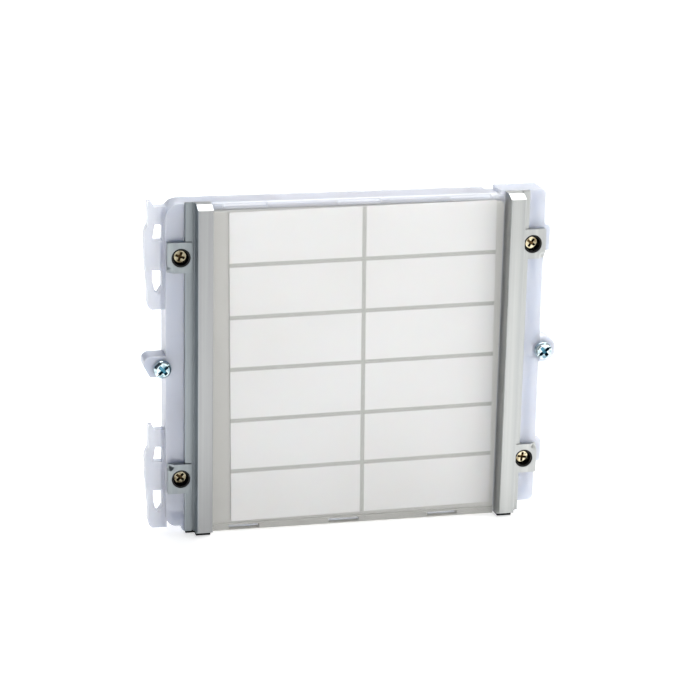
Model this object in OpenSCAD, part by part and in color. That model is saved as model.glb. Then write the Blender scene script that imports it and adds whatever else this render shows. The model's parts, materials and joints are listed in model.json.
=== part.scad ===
// Backlit name-card panel of a door intercom.
// X runs to the right, Z up, and the panel faces -Y. The origin is the centre of the four corner
// screws, on the plane where the housing's skirt seats on its frame.

/* [Name card] */
// Width of one name field
cell_w = 45; // [40:0.5:46]
// Height of one name field
cell_h = 17.73; // [16:0.01:17.75]
// Columns of name fields
columns = 2; // [1:1:2]
// Rows of name fields
rows = 6; // [2:1:6]
// How far the loose card sits to the right of the panel's centre
card_shift = 2.0; // [-2:0.1:2]
// How far the loose card leans in its tray, in degrees
card_lean = 0.7; // [0:0.1:0.8]
// Thickness of the card
card_t = 0.25; // [0.15:0.05:0.3]

/* [Window] */
// Width of the clear window
window_w = 99; // [98:0.1:99.1]
// Height of the clear window
window_h = 112.8; // [112:0.1:114]
// How far the window's centre lies below the corner screws' centre
window_drop = 1.0; // [0:0.1:1.5]
// Thickness of the window's plate
window_t = 1.05; // [0.8:0.05:1.5]
// Width of the snap legs along the top edge
top_leg_w = 14; // [8:1:16]
// Width of the snap legs along the bottom edge
bottom_leg_w = 10; // [8:1:16]

/* [Rails] */
// Length of a rail
rail_len = 112.6; // [110:0.1:114]
// How far the rails' centre lies below the corner screws' centre
rail_drop = 0.35; // [0:0.05:1]
// Clear distance between the two rails
rail_gap = 99.4; // [99.3:0.1:100.5]
// Width of a rail's raised bar
bar_w = 5.1; // [4:0.1:5.2]
// Height of a rail's front face in front of the housing's flange
bar_rise = 8.2; // [6:0.1:9]
// Depth of the sloping facet at each end of a bar
facet_depth = 3.5; // [1:0.1:4.5]
// How much shorter the bar is at its front, at each end
facet_drop = 1.3; // [0.5:0.1:2]
// Width of a rail over its bar and its outer flange
rail_w = 8.4; // [7.5:0.1:8.8]

/* [Corner screws] */
// Spacing of the corner screws across the panel
corner_dx = 118.8; // [118:0.1:119.6]
// Spacing of the corner screws up the panel
corner_dz = 75.8; // [70:0.1:84]
// Radius of a corner screw's thread
corner_thread_r = 1.25; // [1:0.05:1.3]
// Height of a screw lug on a rail
lug_h = 10.2; // [8:0.1:12]

/* [Ear screws] */
// Spacing of the two ear screws
ear_dx = 130.5; // [130:0.1:132]
// Radius of an ear screw's thread
ear_thread_r = 1.5; // [1.4:0.05:1.6]

/* [Housing] */
// Width of the housing's flange
housing_w = 128.2; // [127:0.1:129]
// Height of the housing's flange
housing_h = 110.7; // [110:0.1:112]
// Depth of the skirt behind the flange's front face
skirt_depth = 9.6; // [9:0.1:12]
// Depth of the rear box behind the seating plane
box_depth = 10.4; // [10:0.1:16]

/* [Hidden] */

$fn = 48;
eps = 0.02;

// Planes, front to back
flange_y = -skirt_depth;
flange_t = 2.2;
gasket_t = 0.5;
rail_back_y = flange_y - gasket_t;
rail_flange_y = flange_y - 1.9;
lug_y = flange_y - 2.5;
bar_front_y = flange_y - bar_rise;
diffuser_back_y = flange_y + 1.2;
diffuser_t = 2.95;
diffuser_front_y = diffuser_back_y - diffuser_t;
card_gap = 0.2;
card_back_y = diffuser_front_y - card_gap;
window_back_y = card_back_y - card_t - card_gap;
window_front_y = window_back_y - window_t;
board_t = 1.6;
board_front_y = -2;
board_back_y = board_front_y + board_t;
cover_t = 1.6;

// Housing
skirt_t = 1.6;
skirt_r = 3.6;
wall_x = housing_w / 2;
wall_z = housing_h / 2;
box_x = 50;
box_z = 51.8;
box_t = 1.8;
ledge_x = 46.5;
ledge_z = 49.6;
pocket_x = 49.3;
pocket_z = [-56.6, 53];
pillar_x = 45.3;
pillar_z = 47.8;
pillar_r = 2.6;
pillar_bore_r = 1.0;
corner_block_x = 48.2;
corner_block_rise = 0.7;
middle_x = [-58.9, 57.5];
middle_low_z = -57.3;
upper_left_r = 5;
right_low_z = -54.25;
right_low_r = 2.4;
overlap_x = 10;
notch_w = 3.7;
notch_depth = 0.9;
eject_mark = [61.5, 9.9];

// Side springs and tabs on the housing
clip_y = [-8.4, -4.6];
tab_out = 2.5;
tab_ends = [[34.5, 43.2], [-40.5, -32.4]];
tab_y = [-8.2, -4.6];

// Ears
ear_front_y = flange_y;
ear_back_y = flange_y + 7.2;
ear_bore_r = 1.85;
ear_r = 4.6;
ear_channel_r = 2.8;
ear_pad_r = 4.4;

// Rail section
bead = 0.45;
groove = 0.5;
bar_edge_r = 0.4;
end_pad_t = 0.7;
lug_out = 63.9;
sleeve_r = 3.1;
sleeve_bore_r = 2.6;
sleeve_floor_y = flange_y + 1.5;
sleeve_floor_t = 1.0;
sleeve_neck_r = 1.65;
boss_r = 4.2;
boss_back_y = flange_y + 6.1;

// Corner screws
corner_head_r = 2.45;
corner_head_y = flange_y - 0.5;
corner_head_h = 1.9;
corner_tip_y = 7;

// Ear screws
ear_head_r = 3.05;
ear_head_h = 2.2;
ear_shank_r = 1.8;
ear_tip_y = 4.5;

// Window legs
leg_gap = 0.3;
top_leg_z = [53.75, 54.55];
bottom_leg_z = [-56.55, -55.7];
leg_back_y = flange_y + 3.2;
top_leg_x = [-38, 0, 38];
bottom_leg_x = [-38, -3.5, 31];
rim_t = 0.6;
diffuser_lip_z = [-57.2, -54.8];

// Board and what is on it
board_x = 47.4;
board_z = 49.8;
led_size = [3, 0.9, 2.6];
reflector_x = 42.2;
reflector_z = 49.0;
reflector_t = 1.4;

// Terminal block
pitch = 5.08;
terminal_z = -34;
terminal_x = [-pitch / 2, pitch / 2];
block_size = [10.6, 10.2, 8.2];
clamp_y = board_back_y + 4.6;
clamp_size = 3.4;
clamp_back = 2.6;
clamp_pocket = clamp_size / 2 + eps;
clamp_head_r = 1.8;
wire_r = 1.35;
wiring_room = 9;

// ---- helpers ----

// A rectangle with round corners, drawn from corner to corner
module round_rect(low, high, r) {
    translate([low[0] + r, low[1]]) square([high[0] - low[0] - 2 * r, high[1] - low[1]]);
    translate([low[0], low[1] + r]) square([high[0] - low[0], high[1] - low[1] - 2 * r]);
    for (x = [low[0] + r, high[0] - r], z = [low[1] + r, high[1] - r]) translate([x, z]) circle(r);
}

// Extrudes an X-Z outline from depth y0 to depth y1
module slab(y0, y1) {
    translate([0, y1, 0]) rotate([90, 0, 0]) linear_extrude(y1 - y0) children();
}

// A round plate or block, centred on X = 0 unless the corners say otherwise
module plate(low, high, y0, y1, r) {
    slab(y0, y1) round_rect(low, high, r);
}

// A box from one corner to the other
module box(low, high) {
    translate(low) cube(high - low);
}

// A cylinder along Y
module rod(x, z, r, y0, y1) {
    translate([x, y0, z]) rotate([-90, 0, 0]) cylinder(h = y1 - y0, r = r);
}

// A round piece turned about a Y axis: profile points are [radius, depth]
module turned(x, z, profile) {
    translate([x, 0, z]) rotate([-90, 0, 0]) rotate_extrude() polygon(profile);
}

// Points along an arc
function arc(cx, cy, r, a0, a1, n = 6) =
    [for (i = [0:n]) let (a = a0 + (a1 - a0) * i / n) [cx + r * cos(a), cy + r * sin(a)]];

// Calls its children at the four corner screws
module at_corners() {
    for (sx = [-1, 1], sz = [-1, 1]) translate([sx * corner_dx / 2, 0, sz * corner_dz / 2]) children();
}

// A cross recess, cut into a head whose front is at depth y
module cross_recess(y, span, width, depth, turn) {
    translate([0, y, 0]) rotate([0, turn, 0])
        for (a = [0, 90]) rotate([0, a, 0])
            translate([-span / 2, -1, -width / 2]) cube([span, depth + 1, width]);
}

// ---- housing ----

// One bow-shaped side spring, standing out from the housing's left wall at X = 0
module side_spring() {
    slab(clip_y[0], clip_y[1])
        difference() {
            polygon([
                [0.5, 16.4], [-3.4, 16.2], [-4.3, 18.0], [-5.6, 18.1], [-5.6, 10.2], [-6.4, 8.8],
                [-6.8, 7.0], [-6.85, 4.4], [-6.7, 0], [-6.3, -5.2], [-5.8, -11], [-5.9, -15.2],
                [-5.4, -17.2], [-4.4, -18.1], [0.5, -18.1]
            ]);
            polygon([[-3.3, 10.5], [-0.9, 10.4], [-0.9, 5.0], [-4.1, 5.1]]);
            polygon([[-4.1, -4.8], [-1.0, -4.9], [-1.0, -10.6], [-2.3, -12.6], [-3.1, -12.2], [-4.0, -8.5]]);
        }
}

// The left ear: flat on top, slanting in below
module left_ear() {
    x = -ear_dx / 2;
    slab(ear_front_y, ear_back_y)
        polygon(concat([[x + 4, 4.3]], arc(x - 3.6, 1.8, 2.5, 90, 180), [[x - 6.1, 0.9],
            [x - 4.0, -2.9], [x + 4, -2.9]]));
}

module right_ear() {
    rod(ear_dx / 2, 0.3, ear_r, ear_front_y, ear_back_y);
}

// Thickens the skirt inside, where the ear screws run down channels in it
module ear_pads() {
    intersection() {
        for (sx = [-1, 1]) rod(sx * ear_dx / 2, 0, ear_pad_r, flange_y + 1, 0);
        box([-wall_x, flange_y, -ear_pad_r], [wall_x, 0, ear_pad_r]);
    }
}

module housing_shell() {
    difference() {
        union() {
            plate([-wall_x, -wall_z], [overlap_x, wall_z], flange_y, 0, skirt_r);
            plate([-overlap_x, right_low_z], [wall_x, wall_z], flange_y, 0, right_low_r);
            plate([corner_block_x, 0], [wall_x, wall_z + corner_block_rise], flange_y, 0, 1.5);
            box([corner_block_x, flange_y, 0], [corner_block_x + 4, 0, wall_z + corner_block_rise]);
            plate([middle_x[0], middle_low_z], [middle_x[1], 0], flange_y, 0, 1.2);
        }
        plate([-wall_x + skirt_t, -wall_z + skirt_t], [overlap_x, wall_z - skirt_t],
            flange_y + flange_t, 1, skirt_r - skirt_t);
        plate([-overlap_x, right_low_z + skirt_t], [wall_x - skirt_t, wall_z - skirt_t],
            flange_y + flange_t, 1, right_low_r - skirt_t);
        plate([middle_x[0] + skirt_t, middle_low_z + skirt_t], [middle_x[1] - skirt_t, 0],
            flange_y + flange_t, 1, 0.4);
        slab(flange_y - 1, 1) difference() {
            translate([-wall_x - 1, wall_z - upper_left_r]) square(upper_left_r + 1);
            translate([-wall_x + upper_left_r, wall_z - upper_left_r]) circle(upper_left_r);
        }
        box([corner_block_x - notch_w, flange_y - 1, wall_z - notch_depth],
            [corner_block_x, 1, wall_z + 1]);
    }
}

module housing_box() {
    difference() {
        plate([-box_x, -box_z], [box_x, box_z], flange_y + flange_t - 0.4, box_depth, 2.5);
        plate([-box_x + box_t, -box_z + box_t], [box_x - box_t, box_z - box_t],
            flange_y + flange_t, box_depth + 1, 1.5);
    }
}

module housing() {
    color([0.86, 0.9, 0.97, 0.6])
        difference() {
            union() {
                housing_shell();
                housing_box();
                for (sz = [-1, 1]) translate([-wall_x, 0, sz * corner_dz / 2]) side_spring();
                for (z = tab_ends)
                    plate([wall_x - 3, z[0]], [wall_x + tab_out, z[1]], tab_y[0], tab_y[1], 0.8);
                left_ear();
                right_ear();
                ear_pads();
                at_corners() rod(0, 0, boss_r, flange_y + 1, boss_back_y);
                for (x = [-pillar_x, pillar_x], z = [-pillar_z, pillar_z])
                    rod(x, z, pillar_r, flange_y + flange_t - 0.5, board_front_y);
                for (sx = [-1, 1], sz = [-1, 1])
                    rod(sx * eject_mark[0], sz * eject_mark[1], 1.1, flange_y - 0.12, flange_y + 1);
            }
            plate([-pocket_x, pocket_z[0]], [pocket_x, pocket_z[1]], flange_y - 1, diffuser_back_y, 1.5);
            difference() {
                plate([-ledge_x, -ledge_z], [ledge_x, ledge_z], flange_y, flange_y + flange_t + 0.1, 1);
                for (x = [-pillar_x, pillar_x], z = [-pillar_z, pillar_z])
                    rod(x, z, pillar_r + 0.9, flange_y - 1, 0);
            }
            for (x = top_leg_x)
                box([x - top_leg_w / 2 - leg_gap, flange_y - 1, top_leg_z[0] - leg_gap],
                    [x + top_leg_w / 2 + leg_gap, leg_back_y + leg_gap, top_leg_z[1] + leg_gap]);
            bottom_leg_slots();
            at_corners() {
                rod(0, 0, sleeve_r + 0.05, flange_y - 1, sleeve_floor_y + sleeve_floor_t + eps);
                rod(0, 0, 1.9, flange_y, 1);
            }
            for (sx = [-1, 1]) {
                rod(sx * ear_dx / 2, 0, ear_bore_r, ear_front_y - 1, ear_back_y + 1);
                rod(sx * ear_dx / 2, 0, ear_channel_r, ear_back_y, 1);
            }
            for (x = [-pillar_x, pillar_x], z = [-pillar_z, pillar_z])
                rod(x, z, pillar_bore_r, board_front_y - 4, board_front_y + 1);
        }
}

// Room for the window's bottom legs, through the flange and the diffuser's edge
module bottom_leg_slots() {
    for (x = bottom_leg_x)
        box([x - bottom_leg_w / 2 - leg_gap, flange_y - 3, bottom_leg_z[0] - leg_gap],
            [x + bottom_leg_w / 2 + leg_gap, leg_back_y + leg_gap, bottom_leg_z[1] + leg_gap]);
}

// ---- rails ----

// Section of the right rail in X and Y, from the bar's inner face outwards
function rail_section() =
    let (x0 = rail_gap / 2, x1 = x0 + bar_w, x2 = x0 + rail_w)
    concat(
        [[x0, rail_back_y]],
        arc(x0 + bar_edge_r, bar_front_y + bar_edge_r, bar_edge_r, 180, 270),
        arc(x1 - bar_edge_r, bar_front_y + bar_edge_r, bar_edge_r, 270, 360),
        [[x1, rail_flange_y - 0.4], [x1 + bead, rail_flange_y - 0.4], [x1 + bead, rail_flange_y + 0.5],
         [x1 + bead + groove, rail_flange_y + 0.5], [x1 + bead + groove, rail_flange_y]],
        arc(x2 - 0.4, rail_flange_y + 0.4, 0.4, 270, 360, 4),
        [[x2, rail_back_y]]
    );

// Side view of a rail in Y and Z: each end of the bar falls away towards the front
function rail_side() =
    let (h = rail_len / 2, y1 = bar_front_y + facet_depth)
    [[rail_back_y + 1, h], [y1, h], [bar_front_y - 0.01, h - facet_drop],
     [bar_front_y - 0.01, facet_drop - h], [y1, -h], [rail_back_y + 1, -h]];

module right_rail_solid() {
    difference() {
        union() {
            translate([0, 0, -rail_drop])
                intersection() {
                    translate([0, 0, -rail_len]) linear_extrude(2 * rail_len) polygon(rail_section());
                    rotate([90, 0, 90]) linear_extrude(rail_gap) polygon(rail_side());
                }
            for (sz = [-1, 1]) translate([0, 0, sz * corner_dz / 2])
                plate([rail_gap / 2 + bar_w + bead + groove, -lug_h / 2], [lug_out, lug_h / 2],
                    lug_y, rail_back_y, 0.4);
        }
        for (sz = [-1, 1]) {
            rod(corner_dx / 2, sz * corner_dz / 2, sleeve_r + 0.05, lug_y - 1, rail_back_y + 1);
            turned(lug_out - 0.4, sz * (corner_dz / 2 - lug_h / 2 + 0.4),
                [[0, lug_y - 1], [1.9, lug_y - 1], [1.9, lug_y], [0.5, lug_y + 1.4], [0, lug_y + 1.4]]);
        }
    }
}

module right_rail() {
    color([0.78, 0.79, 0.8]) right_rail_solid();
}

module left_rail() {
    color([0.78, 0.79, 0.8]) mirror([1, 0, 0]) right_rail_solid();
}

// A flat gasket with a pad that turns under the rail's bottom end, as wide and as far forward as told
module right_gasket_solid(pad_x1, pad_y0) {
    low_z = -rail_len / 2 - rail_drop;
    difference() {
        union() {
            plate([rail_gap / 2 + 0.4, low_z - end_pad_t],
                [rail_gap / 2 + rail_w - 0.3, rail_len / 2 - rail_drop - 0.6], rail_back_y, flange_y, 0.4);
            box([rail_gap / 2 + 0.4, pad_y0, low_z - end_pad_t], [pad_x1, flange_y, low_z]);
            box([rail_gap / 2 + 0.2, bar_front_y + facet_depth - 0.2, low_z - end_pad_t],
                [rail_gap / 2 + bar_w, flange_y, low_z]);
            for (sz = [-1, 1]) translate([0, 0, sz * corner_dz / 2])
                plate([rail_gap / 2 + bar_w, 0.3 - lug_h / 2], [lug_out - 0.3, lug_h / 2 - 0.3],
                    rail_back_y, flange_y, 0.5);
        }
        for (sz = [-1, 1])
            rod(corner_dx / 2, sz * corner_dz / 2, sleeve_r + 0.05, rail_back_y - 1, flange_y + 1);
        for (sz = [-1, 1])
            rod(eject_mark[0], sz * eject_mark[1], 1.3, rail_back_y - 1, flange_y + 1);
    }
}

module right_rail_gasket() {
    color([0.1, 0.1, 0.11]) right_gasket_solid(rail_gap / 2 + bar_w, rail_back_y - 1);
}

module left_rail_gasket() {
    color([0.1, 0.1, 0.11])
        mirror([1, 0, 0]) right_gasket_solid(rail_gap / 2 + rail_w - 0.3, rail_flange_y + 0.1);
}

// ---- corner screws ----

// Black cups that line the lugs' holes and carry the screw heads
module screw_sleeves() {
    color([0.06, 0.06, 0.07])
        at_corners() turned(0, 0, [
            [sleeve_bore_r, lug_y + 0.1], [sleeve_r, lug_y + 0.1],
            [sleeve_r, sleeve_floor_y + sleeve_floor_t], [sleeve_neck_r, sleeve_floor_y + sleeve_floor_t],
            [sleeve_neck_r, sleeve_floor_y], [sleeve_bore_r, sleeve_floor_y]
        ]);
}

// A captive screw: head, close shoulder, thin neck and threaded end
module corner_screw(sx, sz, turn) {
    head_back = corner_head_y + corner_head_h;
    shoulder_y = sleeve_floor_y + sleeve_floor_t + 0.6;
    thread_y = boss_back_y + 1.4;
    color([0.8, 0.68, 0.4])
        translate([sx * corner_dx / 2, 0, sz * corner_dz / 2])
            difference() {
                turned(0, 0, concat(
                    [[0, corner_head_y], [2.0, corner_head_y + 0.05], [corner_head_r, corner_head_y + 0.5],
                     [corner_head_r, head_back], [1.6, head_back], [1.6, shoulder_y],
                     [0.95, shoulder_y + 0.3], [0.95, thread_y], [corner_thread_r, thread_y + 0.3],
                     [corner_thread_r, corner_tip_y - 0.6], [0.8, corner_tip_y], [0, corner_tip_y]]
                ));
                cross_recess(corner_head_y, 3.2, 0.85, 1.1, turn);
            }
}

module corner_screw_upper_left() { corner_screw(-1, 1, 20); }
module corner_screw_lower_left() { corner_screw(-1, -1, 40); }
module corner_screw_upper_right() { corner_screw(1, 1, 35); }
module corner_screw_lower_right() { corner_screw(1, -1, 10); }

// A ring pushed onto a corner screw's neck, behind the boss, so that the screw can't drop out
module retaining_ring(sx, sz) {
    color([0.9, 0.9, 0.88])
        translate([sx * corner_dx / 2, 0, sz * corner_dz / 2])
            difference() {
                rod(0, 0, 2.7, boss_back_y + 0.3, boss_back_y + 1);
                rod(0, 0, 0.95, boss_back_y - 1, boss_back_y + 2);
            }
}

module retaining_ring_upper_left() { retaining_ring(-1, 1); }
module retaining_ring_lower_left() { retaining_ring(-1, -1); }
module retaining_ring_upper_right() { retaining_ring(1, 1); }
module retaining_ring_lower_right() { retaining_ring(1, -1); }

// ---- ear screws ----

// A pan-head screw with a cross recess and a slot across its head
module ear_screw(sx, turn) {
    top = ear_front_y - 0.05 - ear_head_h;
    color([0.7, 0.8, 0.85])
        translate([sx * ear_dx / 2, 0, 0])
            difference() {
                turned(0, 0, concat(
                    [[0, top]],
                    [for (a = [60:-12:0]) [1.25 + 1.8 * cos(a), top + 1.56 - 1.56 * sin(a) / sin(60)]],
                    [[ear_head_r, ear_front_y - 0.05], [ear_shank_r, ear_front_y - 0.05],
                     [ear_shank_r, ear_back_y + 0.3], [ear_thread_r, ear_back_y + 0.6],
                     [ear_thread_r, ear_tip_y - 0.7], [0.9, ear_tip_y], [0, ear_tip_y]]
                ));
                cross_recess(top, 3.7, 1.1, 1.3, turn);
                translate([0, top, 0]) rotate([0, turn, 0])
                    translate([-4, -1, -0.32]) cube([8, 1.65, 0.64]);
            }
}

module ear_screw_left() { ear_screw(-1, -42); }
module ear_screw_right() { ear_screw(1, -38); }

// ---- window and card ----

module window_legs(xs, w, z) {
    for (x = xs) box([x - w / 2, window_back_y - 0.3, z[0]], [x + w / 2, leg_back_y, z[1]]);
}

module window() {
    low = [-window_w / 2, -window_h / 2 - window_drop];
    high = [window_w / 2, window_h / 2 - window_drop];
    color([0.85, 0.87, 0.85, 0.35])
        union() {
            plate(low, high, window_front_y, window_back_y, 1);
            box([low[0] + 1, window_back_y - 0.3, high[1] - rim_t], [high[0] - 1, flange_y - 0.1, high[1]]);
            window_legs(top_leg_x, top_leg_w, top_leg_z);
            window_legs(bottom_leg_x, bottom_leg_w, bottom_leg_z);
        }
}

module name_card() {
    w = columns * cell_w;
    h = rows * cell_h;
    color([0.93, 0.93, 0.92])
        translate([card_shift, 0, -0.35]) rotate([0, -card_lean, 0])
            plate([-w / 2, -h / 2], [w / 2, h / 2], card_back_y - card_t, card_back_y, 0.5);
}

// ---- light box ----

// The light plate in the housing's pocket, with a lip below the card that stands out to the window
module diffuser() {
    x = pocket_x - 0.2;
    color([0.95, 0.96, 0.96])
        difference() {
            union() {
                plate([-x, pocket_z[0] + 0.2], [x, pocket_z[1] - 0.3],
                    diffuser_front_y, diffuser_back_y, 1.2);
                box([-x, card_back_y - card_t, diffuser_lip_z[0]], [x, flange_y - 0.1, diffuser_lip_z[1]]);
            }
            bottom_leg_slots();
        }
}

// A white frame that keeps each column's light to itself
module reflector_frame() {
    y0 = diffuser_back_y + 0.05;
    y1 = board_front_y;
    half = [reflector_x, reflector_z];
    wall = [reflector_t, reflector_t];
    color([0.98, 0.98, 0.98])
        union() {
            difference() {
                plate(-half, half, y0, y1, 1);
                plate(wall - half, half - wall, y0 - 1, y1 + 1, 0.4);
            }
            box([-reflector_t / 2, y0, 0.5 - reflector_z], [reflector_t / 2, y1, reflector_z - 0.5]);
        }
}

module led_board() {
    color([0.1, 0.42, 0.25])
        difference() {
            plate([-board_x, -board_z], [board_x, board_z], board_front_y, board_back_y, 1.5);
            for (x = [-pillar_x, pillar_x], z = [-pillar_z, pillar_z])
                rod(x, z, 1.3, board_front_y - 1, board_back_y + 1);
            for (x = terminal_x) rod(x, terminal_z, 0.75, board_front_y - 1, board_back_y + 1);
        }
}

// One light-emitting diode behind each name field
module leds() {
    color([1, 0.98, 0.85])
        for (c = [0:columns - 1], r = [0:rows - 1])
            translate([(c - (columns - 1) / 2) * cell_w, board_front_y - led_size[1],
                ((rows - 1) / 2 - r) * (cell_h - 1.4)])
                translate([-led_size[0] / 2, 0, -led_size[2] / 2]) cube(led_size);
}

module resistors() {
    color([0.12, 0.12, 0.13])
        for (i = [0:5]) translate([-30 + 5 * i, board_back_y, 12])
            cube([2, 0.55, 1.25]);
}

module bridge_rectifier() {
    color([0.15, 0.15, 0.16]) box([14, board_back_y, -38], [22.4, board_back_y + 2.6, -31.6]);
}

module smoothing_capacitor() {
    color([0.2, 0.25, 0.45]) turned(-18, -34, [
        [0, board_back_y], [4, board_back_y], [4, board_back_y + 0.9], [3.8, board_back_y + 1.2],
        [4, board_back_y + 1.5], [4, board_back_y + 7.6], [3.7, board_back_y + 7.9], [0, board_back_y + 7.9]
    ]);
}

module driver_chip() {
    color([0.13, 0.13, 0.14]) box([-2.5, board_back_y + 0.15, 6], [2.5, board_back_y + 1.75, 10]);
}

// The chip's eight legs
module chip_legs() {
    color([0.75, 0.76, 0.78])
        for (i = [0:3], side = [-1, 1]) translate([(i - 1.5) * 1.27, board_back_y, 8 + side * 2.5])
            box([-0.2, 0, -0.5], [0.2, 0.6, 0.5]);
}

// ---- terminal block ----

// A two-pole screw terminal: wires enter from below, and the screws are turned from behind
module terminal_block() {
    half = [block_size[0] / 2, block_size[2] / 2];
    top_y = board_back_y + block_size[1];
    color([0.24, 0.62, 0.4])
        difference() {
            union() {
                box([-half[0], board_back_y, terminal_z - half[1]],
                    [half[0], top_y - 2.6, terminal_z + half[1]]);
                box([-half[0], board_back_y, terminal_z - half[1] + 1.6],
                    [half[0], top_y, terminal_z + half[1]]);
            }
            for (x = terminal_x) {
                box([x - clamp_pocket, clamp_y - clamp_pocket, terminal_z - clamp_pocket],
                    [x + clamp_pocket, clamp_y + clamp_back + eps, terminal_z + clamp_pocket]);
                rod(x, terminal_z, clamp_head_r + 0.05, clamp_y, top_y + 1);
                translate([x, clamp_y, terminal_z - block_size[2]]) cylinder(h = block_size[2], r = wire_r);
                box([x - 0.55, board_back_y - 1, terminal_z - 0.55], [x + 0.55, clamp_y, terminal_z + 0.55]);
            }
        }
}

// Pins from the clamps down through the board
module terminal_pins() {
    color([0.85, 0.83, 0.7])
        for (x = terminal_x)
            box([x - 0.45, board_front_y - 0.6, terminal_z - 0.45],
                [x + 0.45, clamp_y - clamp_size / 2, terminal_z + 0.45]);
}

// The metal boxes in the block that grip the wires
module wire_clamps() {
    color([0.8, 0.8, 0.78])
        for (x = terminal_x)
            difference() {
                box([x - clamp_size / 2, clamp_y - clamp_size / 2, terminal_z - clamp_size / 2],
                    [x + clamp_size / 2, clamp_y + clamp_back, terminal_z + clamp_size / 2]);
                translate([x, clamp_y, terminal_z - clamp_size]) cylinder(h = 2 * clamp_size, r = wire_r);
                rod(x, terminal_z, 1.0, clamp_y, clamp_y + clamp_size);
            }
}

module clamp_screw(x) {
    head_y = clamp_y + clamp_back + 0.3;
    tip_y = clamp_y + wire_r + 0.05;
    top_y = board_back_y + block_size[1] - 0.5;
    color([0.75, 0.76, 0.78])
        difference() {
            turned(x, terminal_z, [
                [0, tip_y], [0.95, tip_y], [0.95, head_y], [clamp_head_r, head_y],
                [clamp_head_r, top_y - 0.2], [clamp_head_r - 0.2, top_y], [0, top_y]
            ]);
            translate([x, top_y, terminal_z]) rotate([0, 25, 0])
                translate([-3, -0.7, -0.25]) cube([6, 2, 0.5]);
        }
}

module clamp_screw_left() { clamp_screw(terminal_x[0]); }
module clamp_screw_right() { clamp_screw(terminal_x[1]); }

// ---- rear cover ----

module rear_cover() {
    y1 = box_depth + cover_t;
    opening = [block_size[0] / 2 + 0.8, block_size[2] / 2 + 0.8];
    color([0.84, 0.88, 0.95, 0.7])
        difference() {
            union() {
                plate([-box_x, -box_z], [box_x, box_z], box_depth, y1, 2.5);
                difference() {
                    plate([-box_x + box_t + 0.15, -box_z + box_t + 0.15],
                        [box_x - box_t - 0.15, box_z - box_t - 0.15], box_depth - 1.5, box_depth + 0.2, 1.4);
                    plate([-box_x + 2 * box_t, -box_z + 2 * box_t],
                        [box_x - 2 * box_t, box_z - 2 * box_t], box_depth - 3, box_depth, 1);
                }
                for (x = [-pillar_x, pillar_x], z = [-pillar_z, pillar_z])
                    intersection() {
                        rod(x, z, pillar_r, board_back_y, box_depth + 0.5);
                        plate([-box_x + box_t + 0.15, -box_z + box_t + 0.15],
                            [box_x - box_t - 0.15, box_z - box_t - 0.15], board_back_y - 1, y1, 1.4);
                    }
            }
            for (x = [-pillar_x, pillar_x], z = [-pillar_z, pillar_z]) {
                rod(x, z, 1.3, board_back_y - 1, y1 + 1);
                rod(x, z, 2.3, y1 - 1, y1 + 1);
            }
            plate([-opening[0], terminal_z - opening[1] - wiring_room],
                [opening[0], terminal_z + opening[1]], box_depth - 5, y1 + 1, 1.2);
            for (x = [-24:6:24]) plate([x - 1.2, 26], [x + 1.2, 40], box_depth - 1, y1 + 1, 1.1);
        }
}

// Four long screws through the cover's posts and the board into the housing's pillars
module cover_screws() {
    y1 = box_depth + cover_t;
    color([0.72, 0.74, 0.76])
        for (x = [-pillar_x, pillar_x], z = [-pillar_z, pillar_z])
            difference() {
                turned(x, z, [
                    [0, board_front_y - 3.4], [0.95, board_front_y - 3], [0.95, y1 - 1],
                    [2.1, y1 - 1], [2.1, y1 - 0.3], [1.5, y1 + 0.3], [0, y1 + 0.4]
                ]);
                translate([x, 0, z]) mirror([0, 1, 0]) cross_recess(-y1 - 0.4, 2.4, 0.6, 1, 45);
            }
}

housing();
left_rail();
right_rail();
left_rail_gasket();
right_rail_gasket();
screw_sleeves();
corner_screw_upper_left();
corner_screw_lower_left();
corner_screw_upper_right();
corner_screw_lower_right();
retaining_ring_upper_left();
retaining_ring_lower_left();
retaining_ring_upper_right();
retaining_ring_lower_right();
ear_screw_left();
ear_screw_right();
window();
name_card();
diffuser();
reflector_frame();
led_board();
leds();
resistors();
bridge_rectifier();
smoothing_capacitor();
driver_chip();
chip_legs();
terminal_block();
terminal_pins();
wire_clamps();
clamp_screw_left();
clamp_screw_right();
rear_cover();
cover_screws();
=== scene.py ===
"""Looks of the door intercom's backlit name-card panel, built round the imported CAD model."""

import json
import math

import bmesh
import bpy
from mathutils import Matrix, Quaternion, Vector


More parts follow.
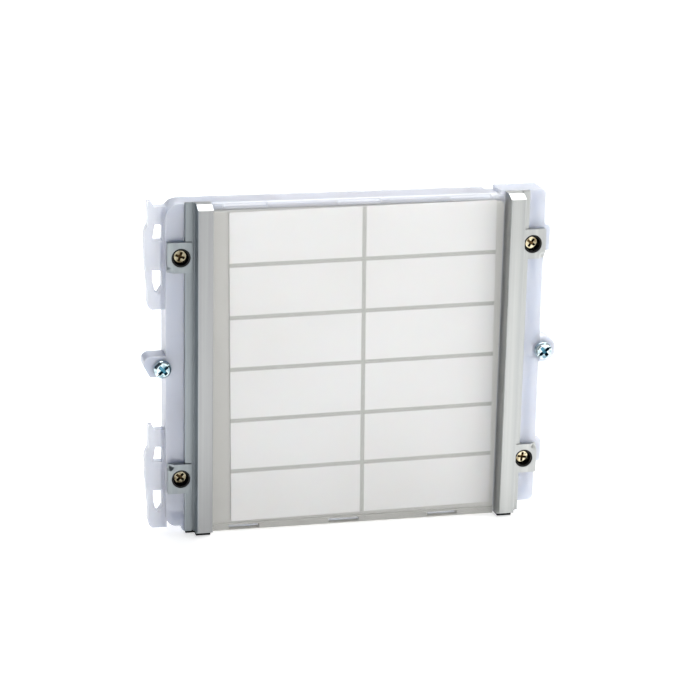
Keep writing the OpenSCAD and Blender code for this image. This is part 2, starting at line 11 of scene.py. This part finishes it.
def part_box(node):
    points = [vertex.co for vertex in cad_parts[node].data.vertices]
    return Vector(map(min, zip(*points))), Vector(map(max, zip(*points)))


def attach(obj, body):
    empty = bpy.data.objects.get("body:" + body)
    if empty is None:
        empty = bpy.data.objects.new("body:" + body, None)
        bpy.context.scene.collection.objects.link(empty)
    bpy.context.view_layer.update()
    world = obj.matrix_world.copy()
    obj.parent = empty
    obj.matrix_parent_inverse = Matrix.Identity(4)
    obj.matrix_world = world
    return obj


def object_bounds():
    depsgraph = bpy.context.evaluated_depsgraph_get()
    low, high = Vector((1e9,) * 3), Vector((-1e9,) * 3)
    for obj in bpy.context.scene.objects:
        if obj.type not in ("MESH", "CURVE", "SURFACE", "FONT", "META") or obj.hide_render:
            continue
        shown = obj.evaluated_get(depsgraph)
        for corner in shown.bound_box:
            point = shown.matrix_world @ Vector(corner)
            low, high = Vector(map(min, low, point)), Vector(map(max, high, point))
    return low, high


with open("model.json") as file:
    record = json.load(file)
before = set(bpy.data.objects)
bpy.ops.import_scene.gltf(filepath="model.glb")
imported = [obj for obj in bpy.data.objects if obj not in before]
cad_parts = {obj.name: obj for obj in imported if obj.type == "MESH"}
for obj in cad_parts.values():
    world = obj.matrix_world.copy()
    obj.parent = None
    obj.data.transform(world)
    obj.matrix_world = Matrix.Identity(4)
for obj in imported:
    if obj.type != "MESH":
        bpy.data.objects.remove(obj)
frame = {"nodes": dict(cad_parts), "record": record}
cad_low, cad_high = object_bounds()
MM = 0.001

# Places on the panel where a material changes
SPRING_SPAN_X = (-66.5 * MM, -64.0 * MM)    # from the side springs' thin bows to their roots
EAR_X, EAR_Z = 64.2 * MM, 6.2 * MM          # the ears reach out beyond X and up and down to Z
BAR_SIDE_X, BAR_SIDE_WIDTH = -54.8 * MM, 0.06 * MM  # outer side of the left rail's bar, which gets painted shade
PLATE_BACK_Y = -11.95 * MM                  # back of the window's plate; its rim and legs follow and carry a painted glow
LIP_TOP_Z = -54.8 * MM                      # top of the light plate's lip below the card, which gets painted shade

# Spans over which painted shade runs across a material, and painted light across the light plate's
# border
HOUSING_PAINTED_SHADE_X = (-58 * MM, 58 * MM)
RAIL_PAINTED_SHADE_X = (-60 * MM, 50 * MM)
SCREW_PAINTED_SHADE_X = (-40 * MM, 40 * MM)
CARD_PAINTED_SHADE_X = (-45 * MM, 45 * MM)
CARD_PAINTED_SHADE_Z = (-54 * MM, 50 * MM)
BORDER_PAINTED_LIGHT_X = (38 * MM, 48 * MM)
WHITE = (1, 1, 1)


# ---------------------------------------------------------------- materials

class Surface:
    """A Principled material with a few helpers for its noise, ramps and bump."""

    def __init__(self, name, colour, rough, metal=0.0, **sockets):
        self.mat = bpy.data.materials.new(name)
        self.mat.use_nodes = True
        self.tree = self.mat.node_tree
        self.shader = self.tree.nodes["Principled BSDF"]
        self.out = self.tree.nodes["Material Output"]
        self.set("Base Color", (*colour, 1))
        self.set("Roughness", rough)
        self.set("Metallic", metal)
        for key, value in sockets.items():
            self.set(key.replace("_", " "), value)
        self.coords = self.node("ShaderNodeTexCoord").outputs["Object"]

    def node(self, kind, **settings):
        made = self.tree.nodes.new(kind)
        for key, value in settings.items():
            setattr(made, key, value)
        return made

    def link(self, a, b):
        self.tree.links.new(a, b)

    def set(self, socket, value):
        self.shader.inputs[socket].default_value = value

    def noise(self, scale, detail, stretch=(1, 1, 1), rough=0.5):
        """Noise over the object coordinates, drawn out along an axis whose stretch is under 1."""
        place = self.node("ShaderNodeMapping")
        place.inputs["Scale"].default_value = stretch
        self.link(self.coords, place.inputs["Vector"])
        made = self.node("ShaderNodeTexNoise")
        made.inputs["Scale"].default_value = scale
        made.inputs["Detail"].default_value = detail
        made.inputs["Roughness"].default_value = rough
        self.link(place.outputs["Vector"], made.inputs["Vector"])
        return made.outputs["Fac"]

    def ramp(self, factor, *stops):
        """A colour for factor, from stops of (place, colour)."""
        made = self.node("ShaderNodeValToRGB")
        marks = made.color_ramp.elements
        while len(marks) < len(stops):
            marks.new(0.5)
        for mark, (place, colour) in zip(marks, stops):
            mark.position = place
            mark.color = (*colour, 1)
        self.link(factor, made.inputs["Fac"])
        return made.outputs["Color"]

    def axis(self, name):
        """The object coordinate named X, Y or Z."""
        apart = self.node("ShaderNodeSeparateXYZ")
        self.link(self.coords, apart.inputs["Vector"])
        return apart.outputs[name]

    def feed(self, socket, value):
        """Links value into socket, or sets it there when it is a plain number."""
        if isinstance(value, (int, float)):
            socket.default_value = value
        else:
            self.link(value, socket)

    def math(self, operation, *values):
        made = self.node("ShaderNodeMath", operation=operation)
        for socket, value in zip(made.inputs, values):
            self.feed(socket, value)
        return made.outputs["Value"]

    def along(self, axis, span, low, high):
        """Goes from low to high while the coordinate on axis goes over span."""
        made = self.node("ShaderNodeMapRange")
        self.link(self.axis(axis), made.inputs["Value"])
        for socket, value in (("From Min", span[0]), ("From Max", span[1]),
                              ("To Min", low), ("To Max", high)):
            made.inputs[socket].default_value = value
        return made.outputs["Result"]

    def mixed(self, factor, a, b, blend="MIX"):
        made = self.node("ShaderNodeMix", data_type="RGBA", blend_type=blend)
        self.feed(made.inputs["Factor"], factor)
        self.link(a, made.inputs["A"])
        self.link(b, made.inputs["B"])
        return made.outputs["Result"]

    def toned(self, base, *tones):
        """Sets the base colour to base times every tone."""
        for tone in tones:
            base = self.mixed(1.0, base, tone, "MULTIPLY")
        self.link(base, self.shader.inputs["Base Color"])

    def grey(self, factor, low, high, start=0.3, end=0.7):
        """Goes from low to high while factor goes from start to end."""
        return self.ramp(factor, (start, (low,) * 3), (end, (high,) * 3))

    def colour(self, factor, *stops):
        self.link(self.ramp(factor, *stops), self.shader.inputs["Base Color"])

    def roughness(self, factor, low, high):
        self.link(self.grey(factor, low, high), self.shader.inputs["Roughness"])

    def bump(self, height, strength, distance):
        made = self.node("ShaderNodeBump")
        made.inputs["Strength"].default_value = strength
        made.inputs["Distance"].default_value = distance
        self.link(height, made.inputs["Height"])
        self.link(made.outputs["Normal"], self.shader.inputs["Normal"])

    def see_through(self, share):
        """Mixes in plain transparency: share is how much of what is behind shows."""
        clear = self.node("ShaderNodeBsdfTransparent")
        mix = self.node("ShaderNodeMixShader")
        mix.inputs["Fac"].default_value = share
        self.link(self.shader.outputs["BSDF"], mix.inputs[1])
        self.link(clear.outputs["BSDF"], mix.inputs[2])
        self.link(mix.outputs["Shader"], self.out.inputs["Surface"])
        return mix


def milky(name, tint, share, spring_share):
    """Translucent moulded plastic. The side springs let more light through, the thick ears none."""
    s = Surface(name, tint, 0.36, IOR=1.58, Subsurface_Weight=0.75, Subsurface_Scale=4 * MM,
                Subsurface_Radius=(0.8, 0.9, 1.0), Coat_Weight=0.12, Coat_Roughness=0.22)
    flow = s.ramp(s.noise(34, 4, (1, 1, 0.4), 0.6),
                  (0.28, (tint[0] * 0.92, tint[1] * 0.885, tint[2] * 0.86)),
                  (0.52, tint),
                  (0.80, tuple(min(1, c * 1.06) for c in tint)))
    # painted shade: darker on the left flange, and darker towards the right end
    s.toned(flow, s.ramp(s.along("X", HOUSING_PAINTED_SHADE_X, 0, 1),
                         (0, (0.76, 0.775, 0.79)), (0.3, WHITE),
                         (0.7, WHITE), (1, (0.90, 0.91, 0.905))))
    s.roughness(s.noise(160, 4), 0.28, 0.44)
    s.bump(s.noise(2600, 2), 0.10, 0.06 * MM)
    outside = s.math("GREATER_THAN", s.math("ABSOLUTE", s.axis("X")), EAR_X)
    level = s.math("LESS_THAN", s.math("ABSOLUTE", s.axis("Z")), EAR_Z)
    ear = s.math("MULTIPLY", outside, level)
    thin = s.along("X", SPRING_SPAN_X, spring_share, share)
    clear = s.math("MULTIPLY", thin, s.math("LESS_THAN", ear, 0.5))
    s.link(clear, s.see_through(share).inputs["Fac"])
    return s.mat


def rail_metal():
    """Satin metal, with painted shade over the left rail, darkest on the outer side of that rail's
    bar.
    """
    s = Surface("rail_satin", (0.46, 0.475, 0.47), 0.3, 0.85, Anisotropic=0.3)
    grain = s.ramp(s.noise(420, 4, (1, 1, 0.01), 0.6),
                   (0.28, (0.385, 0.395, 0.40)),
                   (0.55, (0.455, 0.465, 0.46)),
                   (0.8, (0.525, 0.535, 0.525)))
    # painted shade: the outer side of the left rail's bar, and the left rail as a whole
    side = s.math("COMPARE", s.axis("X"), BAR_SIDE_X, BAR_SIDE_WIDTH)
    s.toned(grain,
            s.ramp(s.along("X", RAIL_PAINTED_SHADE_X, 0, 1),
                   (0.043, (0.66, 0.71, 0.745)), (0.052, (0.75, 0.745, 0.76)),
                   (1, (0.97, 0.97, 0.96))),
            s.ramp(side, (0, WHITE), (1, (0.58, 0.65, 0.71))))
    s.roughness(s.noise(36, 3, (1, 1, 0.25)), 0.25, 0.36)
    s.bump(s.noise(900, 4, (1, 1, 0.012), 0.62), 0.16, 0.03 * MM)
    return s.mat


def recess_mask(s, width, length, radius, depth):
    """1 inside a screw head's recess, where painted shade goes, in a screw that is width across its
    head and length long.
    """
    place = s.node("ShaderNodeMapping", vector_type="POINT")
    place.inputs["Location"].default_value = (-width / 2, 0, -width / 2)
    place.inputs["Scale"].default_value = (width, length, width)
    s.link(s.node("ShaderNodeTexCoord").outputs["Generated"], place.inputs["Vector"])
    apart = s.node("ShaderNodeSeparateXYZ")
    s.link(place.outputs["Vector"], apart.inputs["Vector"])
    across = s.node("ShaderNodeCombineXYZ")
    s.link(apart.outputs["X"], across.inputs["X"])
    s.link(apart.outputs["Z"], across.inputs["Z"])
    reach = s.node("ShaderNodeVectorMath", operation="LENGTH")
    s.link(across.outputs["Vector"], reach.inputs[0])
    inside = s.math("LESS_THAN", reach.outputs["Value"], radius)
    sunk = s.math("GREATER_THAN", apart.outputs["Y"], depth)
    return s.math("MULTIPLY", inside, sunk)


def screw_metal(name, low, high, rough=0.24, metal=1.0, recess=None, left_painted_shade=1.0):
    """Plated metal. recess is the colour of the painted shade in its recess and recess_mask's four
    sizes in millimetres. Screws to the left are darkened by painted shade.
    """
    s = Surface(name, high, rough, metal)
    plain = s.ramp(s.noise(620, 4, rough=0.6), (0.34, low), (0.62, high))
    if recess is None:
        s.toned(plain)
    else:
        dark, *sizes = recess
        # painted shade in the recess, with lighter blotches
        recess_painted_shade = s.ramp(s.noise(900, 2), (0.35, dark), (0.75, tuple(2.6 * c for c in dark)))
        # painted shade on the screws to the left
        s.toned(s.mixed(recess_mask(s, *sizes), plain, recess_painted_shade),
                s.along("X", SCREW_PAINTED_SHADE_X, left_painted_shade, 1.0))
    s.roughness(s.noise(1300, 3), rough * 0.75, rough * 1.4)
    s.bump(s.noise(2400, 3), 0.12, 0.04 * MM)
    return s.mat


def plastic(name, colour, rough, spread=0.06, grain=2200, strength=0.15, **sockets):
    """Plain plastic whose colour varies by spread, with a fine bump of that grain and strength."""
    s = Surface(name, colour, rough, 0.0, **sockets)
    low = tuple(c * (1 - spread) for c in colour)
    high = tuple(min(1, c * (1 + spread)) for c in colour)
    s.colour(s.noise(60, 4), (0.3, low), (0.7, high))
    s.roughness(s.noise(300, 3), rough * 0.88, min(1, rough * 1.12))
    s.bump(s.noise(grain, 3), strength, 0.06 * MM)
    return s.mat


def window_plastic():
    """Clear in the plate, hazy and greyed by painted shade at its edges, and frosted in the rim and
    the legs behind it, which carry a painted glow, stronger above than below.
    """
    s = Surface("window_clear", (0.97, 0.97, 0.97), 0.07, 0.0, IOR=1.49, Specular_IOR_Level=0.5)
    s.roughness(s.noise(90, 4), 0.045, 0.13)
    s.bump(s.noise(45, 2), 0.04, 0.2 * MM)
    behind = s.math("GREATER_THAN", s.axis("Y"), PLATE_BACK_Y)
    upper = s.math("GREATER_THAN", s.axis("Z"), 0)
    # painted glow in the rim and legs behind the plate, warm below and stronger above
    s.link(s.ramp(upper, (0, (1, 0.93, 0.78)), (1, (0.96, 0.97, 1))),
           s.shader.inputs["Emission Color"])
    s.link(s.math("MULTIPLY", behind, s.grey(upper, 0.22, 0.85, 0.0, 1.0)),
           s.shader.inputs["Emission Strength"])
    facing = s.node("ShaderNodeSeparateXYZ")
    s.link(s.node("ShaderNodeNewGeometry").outputs["Normal"], facing.inputs["Vector"])
    edge = s.math("LESS_THAN", s.math("ABSOLUTE", facing.outputs["Y"]), 0.5)
    hazy = s.math("MAXIMUM", behind, edge)
    # painted shade: the plate's edges and other sideways faces are greyer
    s.colour(edge, (0, (0.97, 0.97, 0.97)), (1, (0.72, 0.76, 0.78)))
    s.link(s.grey(hazy, 0.90, 0.86, 0.0, 1.0), s.see_through(0.90).inputs["Fac"])
    return s.mat


def card_paper():
    """White card, with painted shade making it slightly darker towards its bottom and its right
    edge.
    """
    s = Surface("card_paper", (0.86, 0.86, 0.85), 0.62, 0.0, Subsurface_Weight=0.1,
                Subsurface_Scale=0.6 * MM)
    fibres = s.ramp(s.noise(22, 5, rough=0.55),
                    (0.30, (0.835, 0.824, 0.808)),
                    (0.50, (0.872, 0.861, 0.854)),
                    (0.72, (0.892, 0.884, 0.883)))
    # painted shade towards the bottom and the right edge
    s.toned(fibres, s.along("Z", CARD_PAINTED_SHADE_Z, 0.94, 0.965), s.along("X", CARD_PAINTED_SHADE_X, 1.0, 0.97))
    s.bump(s.noise(3200, 4), 0.05, 0.01 * MM)
    return s.mat


def card_ink():
    s = Surface("card_ink", (0.45, 0.45, 0.42), 0.6)
    s.colour(s.noise(1400, 4), (0.3, (0.40, 0.40, 0.375)), (0.7, (0.47, 0.47, 0.44)))
    s.bump(s.noise(3000, 3), 0.15, 0.03 * MM)
    return s.mat


def opal_plastic():
    """The light plate: opal, with painted light in its right border and painted shade in the lip
    below the card.
    """
    s = Surface("opal_plastic", (0.56, 0.55, 0.52), 0.5, Subsurface_Weight=0.3,
                Subsurface_Scale=1.2 * MM, Subsurface_Radius=(1.0, 0.97, 0.9))
    plain = s.ramp(s.noise(60, 4), (0.3, (0.545, 0.538, 0.507)), (0.7, (0.575, 0.568, 0.535)))
    lip = s.ramp(s.noise(110, 4, (1, 1, 2.5)),
                 (0.3, (0.375, 0.37, 0.34)), (0.7, (0.435, 0.43, 0.40)))
    # painted shade in the lip below the card, painted light in the right border
    s.toned(s.mixed(s.math("LESS_THAN", s.axis("Z"), LIP_TOP_Z), plain, lip),
            s.along("X", BORDER_PAINTED_LIGHT_X, 1.0, 1.24))
    s.roughness(s.noise(300, 3), 0.44, 0.56)
    s.bump(s.noise(2200, 3), 0.15, 0.06 * MM)
    return s.mat


def board_mask():
    s = Surface("board_mask", (0.02, 0.14, 0.07), 0.3, 0.0, Coat_Weight=0.4, Coat_Roughness=0.15)
    s.colour(s.noise(120, 4), (0.3, (0.014, 0.11, 0.055)), (0.7, (0.026, 0.17, 0.085)))
    s.bump(s.noise(1500, 3, (1, 1, 0.3)), 0.2, 0.04 * MM)
    return s.mat


BLACK = (0.005, 0.005, 0.006)
# Zinc and brass go from dark to bright in blotches: partly plating tone, partly painted reflection
# of the room and lamps
ZINC_LOW, ZINC_HIGH = (0.17, 0.28, 0.33), (0.78, 0.88, 0.90)
BRASS_LOW, BRASS_HIGH = (0.20, 0.15, 0.08), (0.76, 0.69, 0.48)
# A recess: the colour of its painted shade, then in millimetres the head's width, the screw's
# length, radius and depth
ZINC_RECESS = ((0.035, 0.11, 0.15), 6.1, 16.35, 1.9, 0.12)
BRASS_RECESS = ((0.05, 0.03, 0.012), 4.9, 17.1, 1.75, 0.12)

MATERIALS = {
    "milky_plastic": milky("milky_plastic", (0.72, 0.745, 0.845), 0.28, 0.44),
    "rail_metal": rail_metal(),
    "gasket_rubber": plastic("gasket_rubber", BLACK, 0.75, 0.3, 1500, 0.4,
                             Specular_IOR_Level=0.2),
    "black_plastic": plastic("black_plastic", BLACK, 0.28, 0.3, 1800, 0.15,
                             Specular_IOR_Level=0.25),
    "brass_plated": screw_metal("brass_plated", BRASS_LOW, BRASS_HIGH, 0.15,
                                recess=BRASS_RECESS, left_painted_shade=0.5),
    "nylon": plastic("nylon", (0.80, 0.80, 0.76), 0.5, Subsurface_Weight=0.3,
                     Subsurface_Scale=1 * MM),
    "zinc_plated": screw_metal("zinc_plated", ZINC_LOW, ZINC_HIGH, 0.2, recess=ZINC_RECESS),
    "clear_plastic": window_plastic(),
    "card": card_paper(),
    "opal_plastic": opal_plastic(),
    "white_plastic": plastic("white_plastic", (0.86, 0.86, 0.85), 0.5, 0.03),
    "circuit_board": board_mask(),
    "led_lens": plastic("led_lens", (0.90, 0.80, 0.42), 0.25, 0.08),
    "dark_epoxy": plastic("dark_epoxy", (0.03, 0.03, 0.033), 0.55, 0.2, 1800, 0.35),
    "capacitor_sleeve": plastic("capacitor_sleeve", (0.03, 0.045, 0.14), 0.3, 0.12),
    "tinned_metal": screw_metal("tinned_metal", (0.60, 0.60, 0.58), (0.78, 0.78, 0.75), 0.32),
    "green_plastic": plastic("green_plastic", (0.05, 0.26, 0.13), 0.42, 0.08),
}
PLAIN_ZINC = screw_metal("plain_zinc", ZINC_LOW, ZINC_HIGH, 0.24)
COPPER = screw_metal("track_copper", (0.10, 0.36, 0.18), (0.14, 0.44, 0.24), 0.35, 0.25)
SOLDER = screw_metal("solder", (0.62, 0.62, 0.62), (0.82, 0.82, 0.80), 0.28)
INK = card_ink()

PLAIN_ZINC_NODES = ("cover_screws", "clamp_screw_left", "clamp_screw_right")

slot_of = {p["node"]: p["material_slot"] for p in frame["record"]["subparts"]}
for node, obj in frame["nodes"].items():
    for s in obj.material_slots:
        s.material = PLAIN_ZINC if node in PLAIN_ZINC_NODES else MATERIALS[slot_of[node]]


# ---------------------------------------------------------------- edges

WELD_DISTANCE = 0.002 * MM
FLAT_ANGLE, EDGE_ANGLE = math.radians(0.8), math.radians(38)
EDGE_WIDTHS = {"left_rail": 0.14 * MM, "right_rail": 0.14 * MM,
               "housing": 0.2 * MM, "rear_cover": 0.2 * MM}


def round_edges(node, width):
    """Merges the flat triangles into faces and breaks the sharp edges, as moulding does."""
    obj = frame["nodes"][node]
    weld = obj.modifiers.new("weld", "WELD")
    weld.merge_threshold = WELD_DISTANCE
    flat = obj.modifiers.new("flat", "DECIMATE")
    flat.decimate_type = "DISSOLVE"
    flat.angle_limit = FLAT_ANGLE
    edge = obj.modifiers.new("edge", "BEVEL")
    edge.width = width
    edge.segments = 2
    edge.limit_method = "ANGLE"
    edge.angle_limit = EDGE_ANGLE


for node, width in EDGE_WIDTHS.items():
    round_edges(node, width)


# ---------------------------------------------------------------- geometry helpers

def piece(name, bm, mat, body, smooth=False):
    """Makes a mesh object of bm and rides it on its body."""
    bmesh.ops.recalc_face_normals(bm, faces=bm.faces)
    mesh = bpy.data.meshes.new(name)
    bm.to_mesh(mesh)
    bm.free()
    mesh.materials.append(mat)
    if smooth:
        for face in mesh.polygons:
            face.use_smooth = True
    obj = bpy.data.objects.new(name, mesh)
    bpy.context.scene.collection.objects.link(obj)
    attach(obj, body)


def add_box(bm, low, high, turn=None, about=(0, 0, 0)):
    """Adds a box, turned by the quaternion turn about the point about."""
    corners = [Vector((x, y, z)) for x in (low[0], high[0])
               for y in (low[1], high[1]) for z in (low[2], high[2])]
    if turn is not None:
        centre = Vector(about)
        corners = [turn @ (c - centre) + centre for c in corners]
    v = [bm.verts.new(c) for c in corners]
    for f in ((0, 1, 3, 2), (4, 6, 7, 5), (0, 4, 5, 1),
              (2, 3, 7, 6), (0, 2, 6, 4), (1, 5, 7, 3)):
        bm.faces.new([v[i] for i in f])


# ---------------------------------------------------------------- the printed card

ROWS, CELL_W, CELL_H, LINE_W = 6, 45 * MM, 17.73 * MM, 1.4 * MM
CARD_LEAN = math.radians(-0.7)
INK_RISE, INK_GAP = 0.03 * MM, 0.002 * MM

card_low, card_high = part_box("name_card")
card_centre = (card_low + card_high) / 2
card_turn = Quaternion((0, 1, 0), CARD_LEAN)


def add_line(bm, x0, x1, z0, z1):
    """Adds a printed line just ahead of the card, placed from its centre and leaning with it."""
    add_box(bm, (card_centre.x + x0, card_low.y - INK_RISE, card_centre.z + z0),
            (card_centre.x + x1, card_low.y - INK_GAP, card_centre.z + z1),
            card_turn, card_centre)


bm = bmesh.new()
for row in range(1, ROWS):
    z = (row - ROWS / 2) * CELL_H
    for x0, x1 in ((-CELL_W, -LINE_W / 2), (LINE_W / 2, CELL_W)):
        add_line(bm, x0, x1, z - LINE_W / 2, z + LINE_W / 2)
add_line(bm, -LINE_W / 2, LINE_W / 2, -ROWS / 2 * CELL_H, ROWS / 2 * CELL_H)
piece("card_lines", bm, INK, "name_card")


# ---------------------------------------------------------------- tracks and solder on the board

# Places and sizes on the board's back, in millimetres
BUS_COUNT, BUS_X, BUS_STEP_X, BUS_END_X = 6, -29, 5, 41
BUS_Z, BUS_TURN_Z, BUS_STEP_Z = 13.9, 22, 1.5
BUS_W, SUPPLY_W, TRACK_T = 0.7, 1.2, 0.05
SUPPLY_TRACKS = ((-18, -29, 4), (-8, -20, 3), (8, -20, 4), (18, -31, 3))  # x, lower and upper end
PIN_COLUMNS, PIN_ROWS, PIN_PITCH = (-42, -36, 36, 41), 6, 12
TERMINAL_PINS = [(-21, -27), (-15, -27)]
DOME_R, DOME_H, DOME_STEPS, DOME_LEVELS = 0.9, 0.5, 14, 4

board_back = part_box("led_board")[1].y


def add_track(bm, x0, x1, z0, z1):
    """Adds a flat track on the board's back."""
    add_box(bm, (x0 * MM, board_back, z0 * MM), (x1 * MM, board_back + TRACK_T * MM, z1 * MM))


def add_dome(bm, x, z):
    """Adds a closed solder dome on the board's back."""
    rings = []
    for level in range(DOME_LEVELS):
        rise = level / DOME_LEVELS * math.pi / 2
        reach = DOME_R * MM * math.cos(rise)
        y = board_back + DOME_H * MM * math.sin(rise)
        turns = [i * math.tau / DOME_STEPS for i in range(DOME_STEPS)]
        rings.append([bm.verts.new((x * MM + reach * math.cos(a), y, z * MM + reach * math.sin(a)))
                      for a in turns])
    tip = bm.verts.new((x * MM, board_back + DOME_H * MM, z * MM))
    bm.faces.new(rings[0])
    for i in range(DOME_STEPS):
        j = (i + 1) % DOME_STEPS
        for low, high in zip(rings, rings[1:]):
            bm.faces.new((low[i], low[j], high[j], high[i]))
        bm.faces.new((rings[-1][i], rings[-1][j], tip))


bm = bmesh.new()
for i in range(BUS_COUNT):
    x, z = BUS_X + BUS_STEP_X * i, BUS_TURN_Z + BUS_STEP_Z * i
    add_track(bm, x - BUS_W / 2, x + BUS_W / 2, BUS_Z, z)
    add_track(bm, x - BUS_W / 2, BUS_END_X, z - BUS_W, z)
for x, low, high in SUPPLY_TRACKS:
    add_track(bm, x - SUPPLY_W / 2, x + SUPPLY_W / 2, low, high)
piece("board_tracks", bm, COPPER, "panel")

bm = bmesh.new()
led_pins = [(x, (row - (PIN_ROWS - 1) / 2) * PIN_PITCH)
            for x in PIN_COLUMNS for row in range(PIN_ROWS)]
for x, z in led_pins + TERMINAL_PINS:
    add_dome(bm, x, z)
piece("solder_joints", bm, SOLDER, "panel", smooth=True)


# ---------------------------------------------------------------- floor, lights, world, camera

FLOOR_GAP, FLOOR_HALF_SIZE, FLOOR_GLOW = 0.2 * MM, 30, 0.60
WORLD_STRENGTH, BACKDROP = 0.435, (0.96, 0.96, 0.96, 1)


def add_floor():
    """Adds the white paper just below the panel, with a glow that keeps it pale."""
    bm = bmesh.new()
    bmesh.ops.create_grid(bm, x_segments=1, y_segments=1, size=FLOOR_HALF_SIZE)
    mesh = bpy.data.meshes.new("floor")
    bm.to_mesh(mesh)
    bm.free()
    floor = bpy.data.objects.new("floor", mesh)
    floor.location.z = cad_low.z - FLOOR_GAP
    s = Surface("floor_paper", (0.95, 0.95, 0.95), 0.9)
    s.colour(s.noise(3, 3), (0.3, (0.945, 0.945, 0.945)), (0.7, (0.955, 0.955, 0.955)))
    s.set("Emission Color", (1, 1, 1, 1))
    s.set("Emission Strength", FLOOR_GLOW)
    mesh.materials.append(s.mat)
    bpy.context.scene.collection.objects.link(floor)


def add_area(name, place, size, power, colour=WHITE):
    """Adds an area light that looks at the middle of the panel."""
    light = bpy.data.lights.new(name, "AREA")
    light.shape = "RECTANGLE"
    light.size, light.size_y = size
    light.energy = power
    light.color = colour
    obj = bpy.data.objects.new(name, light)
    obj.location = place
    middle = (cad_low + cad_high) / 2
    obj.rotation_euler = (middle - Vector(place)).to_track_quat("-Z", "Y").to_euler()
    bpy.context.scene.collection.objects.link(obj)


def add_world():
    """Adds a room that is dark on the left, and a pale backdrop that only the camera sees."""
    world = bpy.data.worlds.new("studio")
    world.use_nodes = True
    bpy.context.scene.world = world
    nodes, links = world.node_tree.nodes, world.node_tree.links
    apart = nodes.new("ShaderNodeSeparateXYZ")
    links.new(nodes.new("ShaderNodeTexCoord").outputs["Generated"], apart.inputs["Vector"])
    span = nodes.new("ShaderNodeMapRange")
    span.inputs["From Min"].default_value = -1
    links.new(apart.outputs["X"], span.inputs["Value"])
    shade = nodes.new("ShaderNodeValToRGB")
    left, right = shade.color_ramp.elements
    left.position, left.color = 0.32, (0.07, 0.095, 0.13, 1)
    right.position, right.color = 0.75, (0.80, 0.80, 0.79, 1)
    links.new(span.outputs["Result"], shade.inputs["Fac"])
    room = nodes["Background"]
    room.inputs["Strength"].default_value = WORLD_STRENGTH
    links.new(shade.outputs["Color"], room.inputs["Color"])
    backdrop = nodes.new("ShaderNodeBackground")
    backdrop.inputs["Color"].default_value = BACKDROP
    seen = nodes.new("ShaderNodeMixShader")
    links.new(nodes.new("ShaderNodeLightPath").outputs["Is Camera Ray"], seen.inputs["Fac"])
    links.new(room.outputs["Background"], seen.inputs[1])
    links.new(backdrop.outputs["Background"], seen.inputs[2])
    links.new(seen.outputs["Shader"], nodes["World Output"].inputs["Surface"])


add_floor()
add_area("key", (1.0, -0.55, 0.45), (0.6, 0.8), 3.7, (1, 0.995, 0.98))
add_area("top_back", (0.25, 0.70, 1.0), (1.2, 0.9), 20.0)
add_area("front_top", (0.12, -0.36, 0.50), (0.5, 0.25), 0.95, (1, 0.998, 0.985))
add_area("fill", (-0.9, -0.7, 0.25), (0.5, 0.9), 0.1, (0.90, 0.94, 1))
add_world()

AZIMUTH, ELEVATION, ROLL = math.radians(-13.66), math.radians(16.92), math.radians(1.21)
CAMERA_PLACE, FOCAL_LENGTH = (-0.18367, -0.75686, 0.23722), 124.08
backward = Vector((math.sin(AZIMUTH) * math.cos(ELEVATION),
                   -math.cos(AZIMUTH) * math.cos(ELEVATION),
                   math.sin(ELEVATION)))
camera = bpy.data.objects.new("camera", bpy.data.cameras.new("camera"))
camera.data.sensor_width = 36
camera.data.lens = FOCAL_LENGTH
camera.data.clip_start = 0.01
camera.data.clip_end = 60
camera.location = CAMERA_PLACE
camera.rotation_mode = "QUATERNION"
camera.rotation_quaternion = (-backward).to_track_quat("-Z", "Y") @ Quaternion((0, 0, 1), ROLL)
bpy.context.scene.collection.objects.link(camera)
bpy.context.scene.camera = camera
bpy.context.scene.view_settings.view_transform = "Standard"
